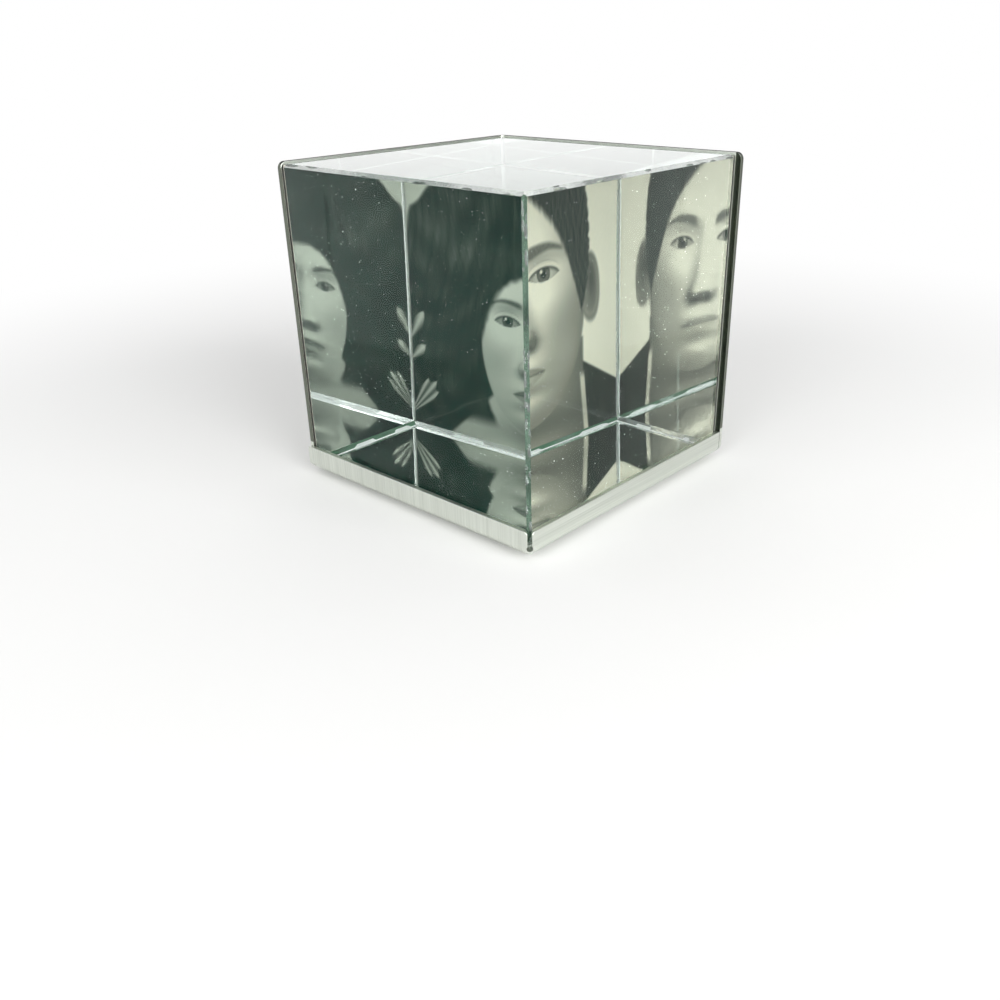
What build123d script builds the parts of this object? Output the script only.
from build123d import *
import math
import os

os.makedirs("parts", exist_ok=True)

# A rotating photo cube: a heavy glass cube stands in a tray folded from one steel sheet.
# The tray has two full walls, with a photo behind the glass on each, and two low lips.
# A thin round foot is riveted under the tray, and the tray turns on it.
# All sizes are in millimetres. +Z is up, the lips are at the front (-Y) and at the right (+X),
# the walls are at the left (-X) and at the rear (+Y).
# The origin is the centre of the resting face, on the axis of the rivet.

# Glass cube and its ground edges
glass_size = 76.0
glass_edge = 0.8
glass_side_edge = 0.4
glass_bottom_edge = 1.2

# Photo and card behind the glass, from the glass outwards to the wall
glass_to_print = 0.08
print_thick = 0.25
card_thick = 0.3
card_to_wall = 0.12
print_margin = 0.4
card_seat = 0.02

# Play between the glass and the two lips
lip_gap = 0.3

# Folded steel tray
sheet = 1.2
bend_radius = 2.0
lip_height = 6.1
rim_above_glass = 0.4
wall_corner_radius = 1.7
lip_corner_radius = 0.7
edge_break = 0.15

# Cuts at the corners of the flat sheet: open slit at the front right, closed seams at two corners
corner_slit = 1.0
corner_tip = 1.7
corner_relief = 1.5
seam = 0.15
seam_relief = 1.5
lip_end_inset = 0.55

# Liner under the glass, and the gap round the rivet's head in its hole
liner_thick = 0.3
liner_margin = 1.5
liner_to_rivet = 0.75

# Turning foot, from the table upwards
felt_thick = 0.5
felt_diameter = 56.0
felt_to_rivet = 0.5
disc_thick = 0.7
disc_diameter = 60.0
disc_edge_radius = 0.25
glide_thick = 0.3
glide_diameter = 54.0
glide_to_rivet = 0.2

# Rivet that is the axle, and the straight land that its countersink leaves in the sheet
rivet_shank = 4.0
rivet_head = 6.0
rivet_tail = 6.4
rivet_tail_thick = 0.2
rivet_fit = 0.05
countersink_land = 0.2

# How far a cutting shape reaches past what it cuts
overrun = 4.0

# Sizes that follow from those above
print_slot = glass_to_print + print_thick + card_thick + card_to_wall
tray_inner = glass_size + print_slot + lip_gap
tray_outer = tray_inner + 2 * sheet
inner_half = tray_inner / 2
outer_half = tray_outer / 2
inner_bend_radius = bend_radius - sheet

disc_z = felt_thick
glide_z = disc_z + disc_thick
tray_z = glide_z + glide_thick
floor_z = tray_z + sheet
glass_z = floor_z + liner_thick
glass_top_z = glass_z + glass_size
wall_top_z = glass_top_z + rim_above_glass
lip_top_z = tray_z + lip_height

glass_left_x = -inner_half + print_slot
glass_rear_y = inner_half - print_slot
glass_x = glass_left_x + glass_size / 2
glass_y = glass_rear_y - glass_size / 2

# The cards stand on the inside curve of the bend, so they end a little above the tray floor.
curve_reach = max(0, inner_bend_radius - card_to_wall)
card_z = floor_z + inner_bend_radius - math.sqrt(inner_bend_radius**2 - curve_reach**2) + card_seat
print_top_z = glass_top_z - print_margin
print_height = print_top_z - card_z
print_width = glass_size - 2 * print_margin

# The rivet's head and its seat are cones of one angle.
head_cone_depth = sheet - countersink_land
head_cone_angle = 2 * math.degrees(math.atan((rivet_head - rivet_shank) / 2 / head_cone_depth))


def nearest(edges, x, y, z):
    """The edge whose middle is nearest to a point."""
    return edges.sort_by(lambda edge: (edge.center() - Vector(x, y, z)).length)[0]


# Tray. A block with rounded lower edges is hollowed out, and its front and right sides are
# cut down to lips. The rear left upright corner is welded and ground round, so it has no seam.
with BuildPart() as tray:
    with BuildSketch(Plane.XY.offset(tray_z)):
        Rectangle(tray_outer, tray_outer)
    extrude(amount=wall_top_z - tray_z)
    bottom_edges = tray.edges().group_by(Axis.Z)[0]
    uprights = tray.edges().filter_by(Axis.Z)
    welded_corner = nearest(uprights, -outer_half, outer_half, wall_top_z / 2)
    fillet(bottom_edges + ShapeList([welded_corner]), bend_radius)

    with BuildSketch(Plane.XY.offset(floor_z)):
        Rectangle(tray_inner, tray_inner)
    extrude(amount=wall_top_z - floor_z, mode=Mode.SUBTRACT)
    floor_edges = tray.faces().filter_by(Axis.Z).sort_by(Axis.Z)[1].edges()
    inner_uprights = tray.edges().filter_by(Axis.Z)
    inner_corner = nearest(inner_uprights, -inner_half, inner_half, wall_top_z / 2)
    fillet(floor_edges + ShapeList([inner_corner]), inner_bend_radius)

    # Open the front and right sides above the lips.
    with BuildSketch(Plane.XY.offset(lip_top_z)):
        with Locations((0, -inner_half + seam)):
            Rectangle(tray_outer + overrun, sheet + seam + overrun, align=(Align.CENTER, Align.MAX))
        with Locations((inner_half, inner_half)):
            Rectangle(sheet + overrun, tray_outer + overrun, align=(Align.MIN, Align.MAX))
    extrude(amount=wall_top_z - lip_top_z + overrun, mode=Mode.SUBTRACT)

    # The walls' free top corners are rounded, and their cut edges are rubbed smooth. This fillet
    # follows the rounded corners, so one edge of each side of the wall is enough.
    across = tray.edges().filter_by(Axis.X)
    along = tray.edges().filter_by(Axis.Y)
    left_wall_corner = nearest(across, -inner_half - sheet / 2, -inner_half + seam, wall_top_z)
    rear_wall_corner = nearest(along, outer_half, inner_half + sheet / 2, wall_top_z)
    fillet([left_wall_corner, rear_wall_corner], wall_corner_radius)
    outer_rim = nearest(tray.edges(), -outer_half, 0, wall_top_z)
    inner_rim = nearest(tray.edges(), -inner_half, 0, wall_top_z)
    fillet([outer_rim, inner_rim], edge_break)

    # Seams beside the lip ends, with a relief hole where each seam ends in the base.
    with BuildSketch(Plane.XY.offset(tray_z - overrun)):
        with Locations((-outer_half + bend_radius, -inner_half)):
            Rectangle(bend_radius + overrun, seam, align=(Align.MAX, Align.MIN))
        with Locations((outer_half - bend_radius, inner_half)):
            Rectangle(bend_radius + overrun, seam, align=(Align.MIN, Align.MAX))
    extrude(amount=lip_height + 2 * overrun, mode=Mode.SUBTRACT)
    with BuildSketch(Plane.XY.offset(tray_z - overrun)):
        with Locations(
            (-outer_half + bend_radius, -inner_half + seam / 2 + seam_relief / 2),
            (outer_half - bend_radius, inner_half - seam / 2 - seam_relief / 2),
        ):
            Circle(seam_relief / 2)
    extrude(amount=sheet + inner_bend_radius + overrun, mode=Mode.SUBTRACT)

    # The front lip ends a little short of the left wall's outer face.
    with BuildSketch(Plane.XY.offset(tray_z - overrun)):
        with Locations((-outer_half + lip_end_inset, -inner_half)):
            Rectangle(lip_end_inset + overrun, sheet + overrun, align=(Align.MAX, Align.MAX))
    extrude(amount=lip_height + 2 * overrun, mode=Mode.SUBTRACT)

    # Open slit between the two lips at the front right corner, with a round hole at its foot.
    front_right_corner = Location((outer_half, -outer_half, 0), (0, 0, -45))
    relief_z = tray_z + bend_radius
    with BuildSketch(Plane.XY.offset(relief_z)):
        with Locations(front_right_corner):
            Rectangle(2 * (sheet + bend_radius) + overrun, corner_slit)
    extrude(amount=lip_height + overrun, mode=Mode.SUBTRACT)
    relief_origin = (outer_half, -outer_half, relief_z)
    with BuildSketch(Plane(origin=relief_origin, x_dir=(1, 1, 0), z_dir=(1, -1, 0))):
        Circle(corner_relief / 2)
    extrude(amount=2 * sheet + overrun / 2, both=True, mode=Mode.SUBTRACT)

    # The base's corner below the slit is cut off square to the diagonal.
    with BuildSketch(Plane.XY.offset(tray_z - overrun)):
        with Locations(front_right_corner):
            with Locations((-corner_tip / 2, 0)):
                Rectangle(overrun, 2 * overrun, align=(Align.MIN, Align.CENTER))
    extrude(amount=bend_radius + overrun, mode=Mode.SUBTRACT)

    # The lips' free corners and cut edges are finished in the same way.
    along = tray.edges().filter_by(Axis.Y)
    left_lip_corner = nearest(along, -outer_half + lip_end_inset, -inner_half - sheet / 2, lip_top_z)
    diagonal = Axis((0, 0, 0), (1, -1, 0))
    slit_corners = tray.edges().filter_by(diagonal).group_by(Axis.Z)[-1]
    fillet(ShapeList([left_lip_corner]) + slit_corners, lip_corner_radius)
    for half in (inner_half, outer_half):
        fillet(nearest(tray.edges(), 0, -half, lip_top_z), edge_break)
        fillet(nearest(tray.edges(), half, 0, lip_top_z), edge_break)

    # Seat of the rivet's head.
    with Locations((0, 0, floor_z)):
        CounterSinkHole(
            radius=rivet_shank / 2 + rivet_fit,
            counter_sink_radius=rivet_head / 2 + rivet_fit,
            depth=sheet,
            counter_sink_angle=head_cone_angle,
        )

tray.part.label = "tray"
export_step(tray.part, "parts/tray.step")


# Glass block, with every edge ground to a narrow flat. The upright edge at the front right,
# where two clear faces meet, has a wider flat than the other upright edges.
with BuildPart() as glass_block:
    with BuildSketch(Plane.XY.offset(glass_z)):
        with Locations((glass_x, glass_y)):
            Rectangle(glass_size, glass_size)
    extrude(amount=glass_size)
    chamfer(glass_block.edges().group_by(Axis.Z)[-1], glass_edge)
    chamfer(glass_block.edges().group_by(Axis.Z)[0], glass_bottom_edge)
    to_front_right = Axis((0, 0, 0), (1, -1, 0))
    chamfer(glass_block.edges().filter_by(Axis.Z).sort_by(to_front_right)[-1], glass_edge)
    uprights = glass_block.edges().filter_by(Axis.Z).group_by(to_front_right)
    chamfer(uprights[0] + uprights[1], glass_side_edge)

glass_block.part.label = "glass_block"
export_step(glass_block.part, "parts/glass_block.step")


# Photos and cards. Each is a flat upright sheet that starts at its own distance from the glass.
def left_sheet(start, thick):
    """An upright sheet beside the left wall."""
    with BuildPart() as upright_sheet:
        with BuildSketch(Plane.XY.offset(card_z)):
            with Locations((glass_left_x - start, glass_y)):
                Rectangle(thick, print_width, align=(Align.MAX, Align.CENTER))
        extrude(amount=print_height)
    return upright_sheet


def rear_sheet(start, thick):
    """An upright sheet beside the rear wall."""
    with BuildPart() as upright_sheet:
        with BuildSketch(Plane.XY.offset(card_z)):
            with Locations((glass_x, glass_rear_y + start)):
                Rectangle(print_width, thick, align=(Align.CENTER, Align.MIN))
        extrude(amount=print_height)
    return upright_sheet


left_wall_print = left_sheet(glass_to_print, print_thick)
left_wall_print.part.label = "left_wall_print"
export_step(left_wall_print.part, "parts/left_wall_print.step")

left_wall_card = left_sheet(glass_to_print + print_thick, card_thick)
left_wall_card.part.label = "left_wall_card"
export_step(left_wall_card.part, "parts/left_wall_card.step")

rear_wall_print = rear_sheet(glass_to_print, print_thick)
rear_wall_print.part.label = "rear_wall_print"
export_step(rear_wall_print.part, "parts/rear_wall_print.step")

rear_wall_card = rear_sheet(glass_to_print + print_thick, card_thick)
rear_wall_card.part.label = "rear_wall_card"
export_step(rear_wall_card.part, "parts/rear_wall_card.step")


# Liner between the glass and the steel floor, open over the rivet's head.
with BuildPart() as base_liner:
    with BuildSketch(Plane.XY.offset(floor_z)):
        with Locations((glass_x, glass_y)):
            Rectangle(glass_size - 2 * liner_margin, glass_size - 2 * liner_margin)
        Circle(rivet_head / 2 + liner_to_rivet, mode=Mode.SUBTRACT)
    extrude(amount=liner_thick)

base_liner.part.label = "base_liner"
export_step(base_liner.part, "parts/base_liner.step")


# Felt ring that stands on the table.
with BuildPart() as foot_felt:
    with BuildSketch():
        Circle(felt_diameter / 2)
        Circle(rivet_tail / 2 + felt_to_rivet, mode=Mode.SUBTRACT)
    extrude(amount=felt_thick)

foot_felt.part.label = "foot_felt"
export_step(foot_felt.part, "parts/foot_felt.step")


# Steel foot disc with rounded rims.
with BuildPart() as foot_disc:
    with BuildSketch(Plane.XY.offset(disc_z)):
        Circle(disc_diameter / 2)
        Circle(rivet_shank / 2 + rivet_fit, mode=Mode.SUBTRACT)
    extrude(amount=disc_thick)
    rims = foot_disc.edges().filter_by(GeomType.CIRCLE).group_by(SortBy.RADIUS)[-1]
    fillet(rims, min(disc_edge_radius, disc_thick / 3))

foot_disc.part.label = "foot_disc"
export_step(foot_disc.part, "parts/foot_disc.step")


# Plastic glide disc between the foot and the turning tray.
with BuildPart() as glide_disc:
    with BuildSketch(Plane.XY.offset(glide_z)):
        Circle(glide_diameter / 2)
        Circle(rivet_shank / 2 + glide_to_rivet, mode=Mode.SUBTRACT)
    extrude(amount=glide_thick)

glide_disc.part.label = "glide_disc"
export_step(glide_disc.part, "parts/glide_disc.step")


# Rivet: countersunk head flush with the tray floor, shank, and a flat tail under the foot disc.
with BuildPart() as pivot_rivet:
    with BuildSketch(Plane.XZ):
        with BuildLine():
            Polyline(
                (0, disc_z - rivet_tail_thick),
                (rivet_tail / 2, disc_z - rivet_tail_thick),
                (rivet_tail / 2, disc_z),
                (rivet_shank / 2, disc_z),
                (rivet_shank / 2, floor_z - head_cone_depth),
                (rivet_head / 2, floor_z),
                (0, floor_z),
                close=True,
            )
        make_face()
    revolve(axis=Axis.Z)

pivot_rivet.part.label = "pivot_rivet"
export_step(pivot_rivet.part, "parts/pivot_rivet.step")
